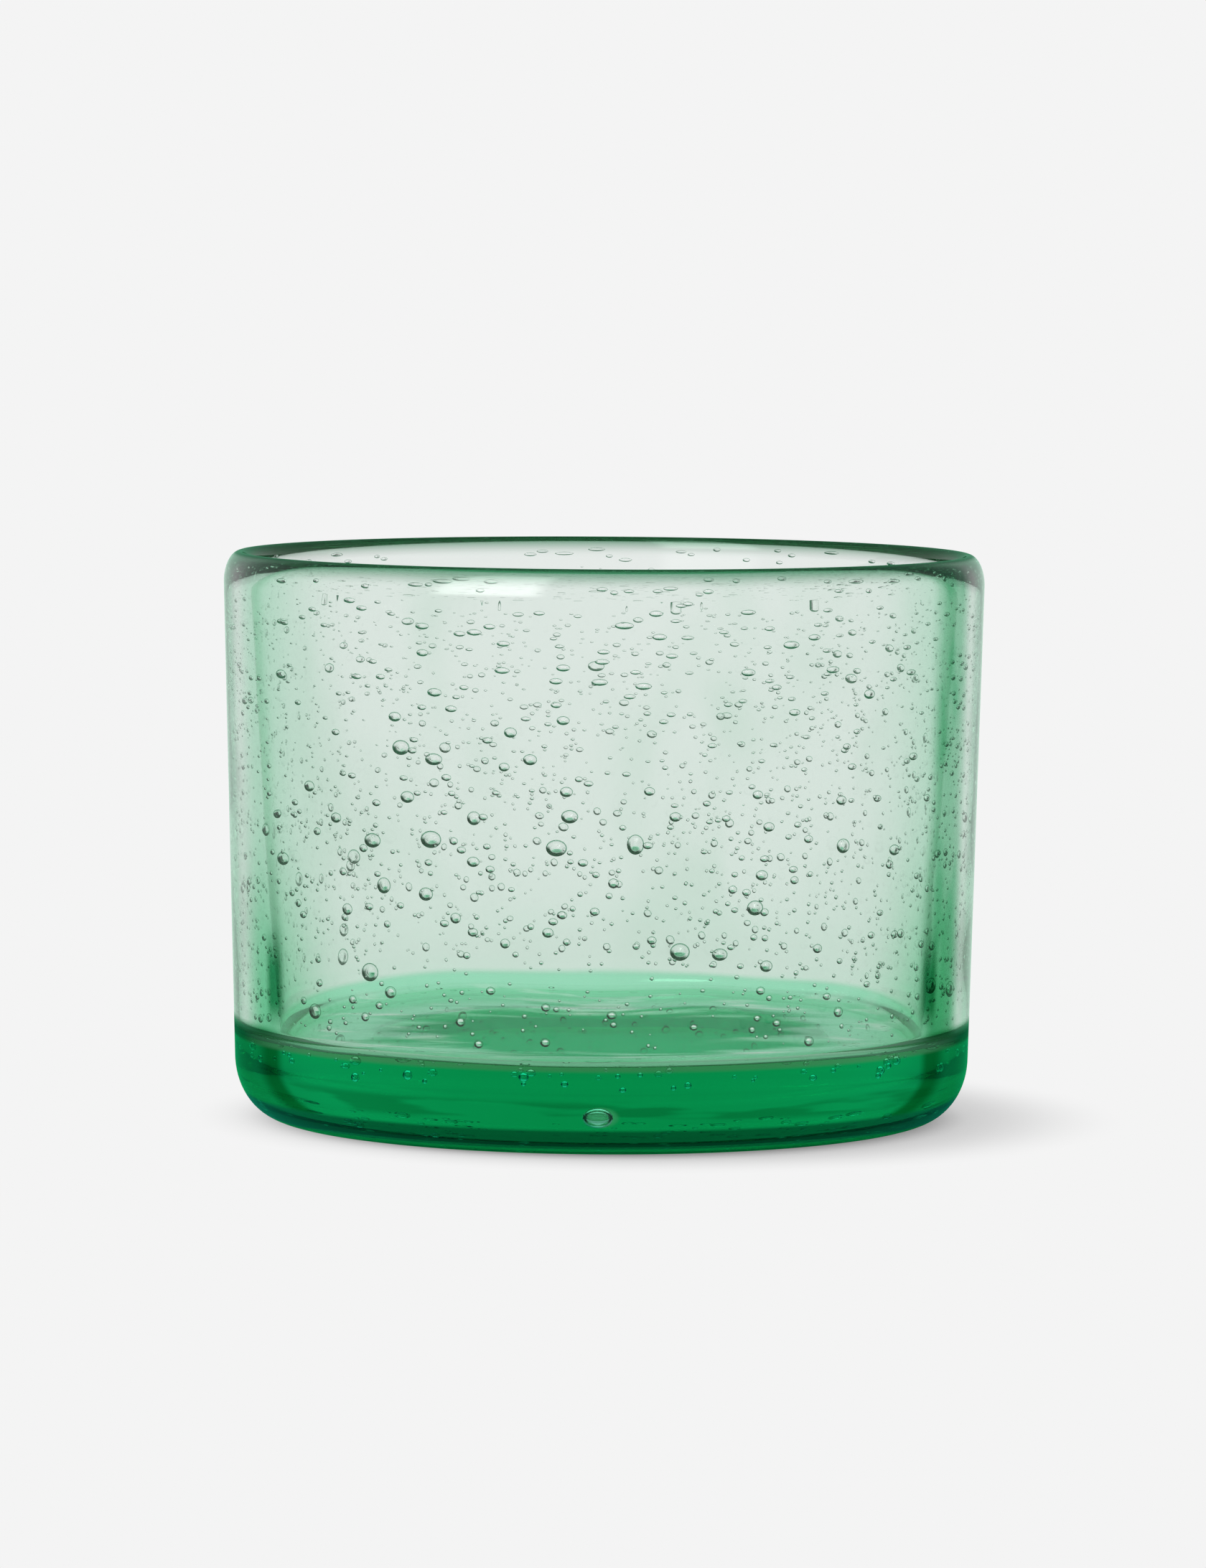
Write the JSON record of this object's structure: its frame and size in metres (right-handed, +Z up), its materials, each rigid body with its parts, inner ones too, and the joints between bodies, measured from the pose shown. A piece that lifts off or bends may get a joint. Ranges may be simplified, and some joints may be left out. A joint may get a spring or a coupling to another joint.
{
  "type": "water glass",
  "caption": "Low, wide drinking glass of green bubbled glass with a thick solid base, a rounded heel and a rounded rim.",
  "frame": {"origin": "centre of the underside, on the surface that the glass stands on", "axes": "+Z up along the glass's axis; +X and +Y across it, with the pictured side facing -Y"},
  "size_m": [0.08, 0.08, 0.0596],
  "materials": {
    "green_glass": "clear green bubbled glass, mouth-blown and fire-polished"
  },
  "bodies": {
    "root": {"outer_gather": "green_glass", "inner_gather": "green_glass", "rim": "green_glass"}
  },
  "joints": []
}
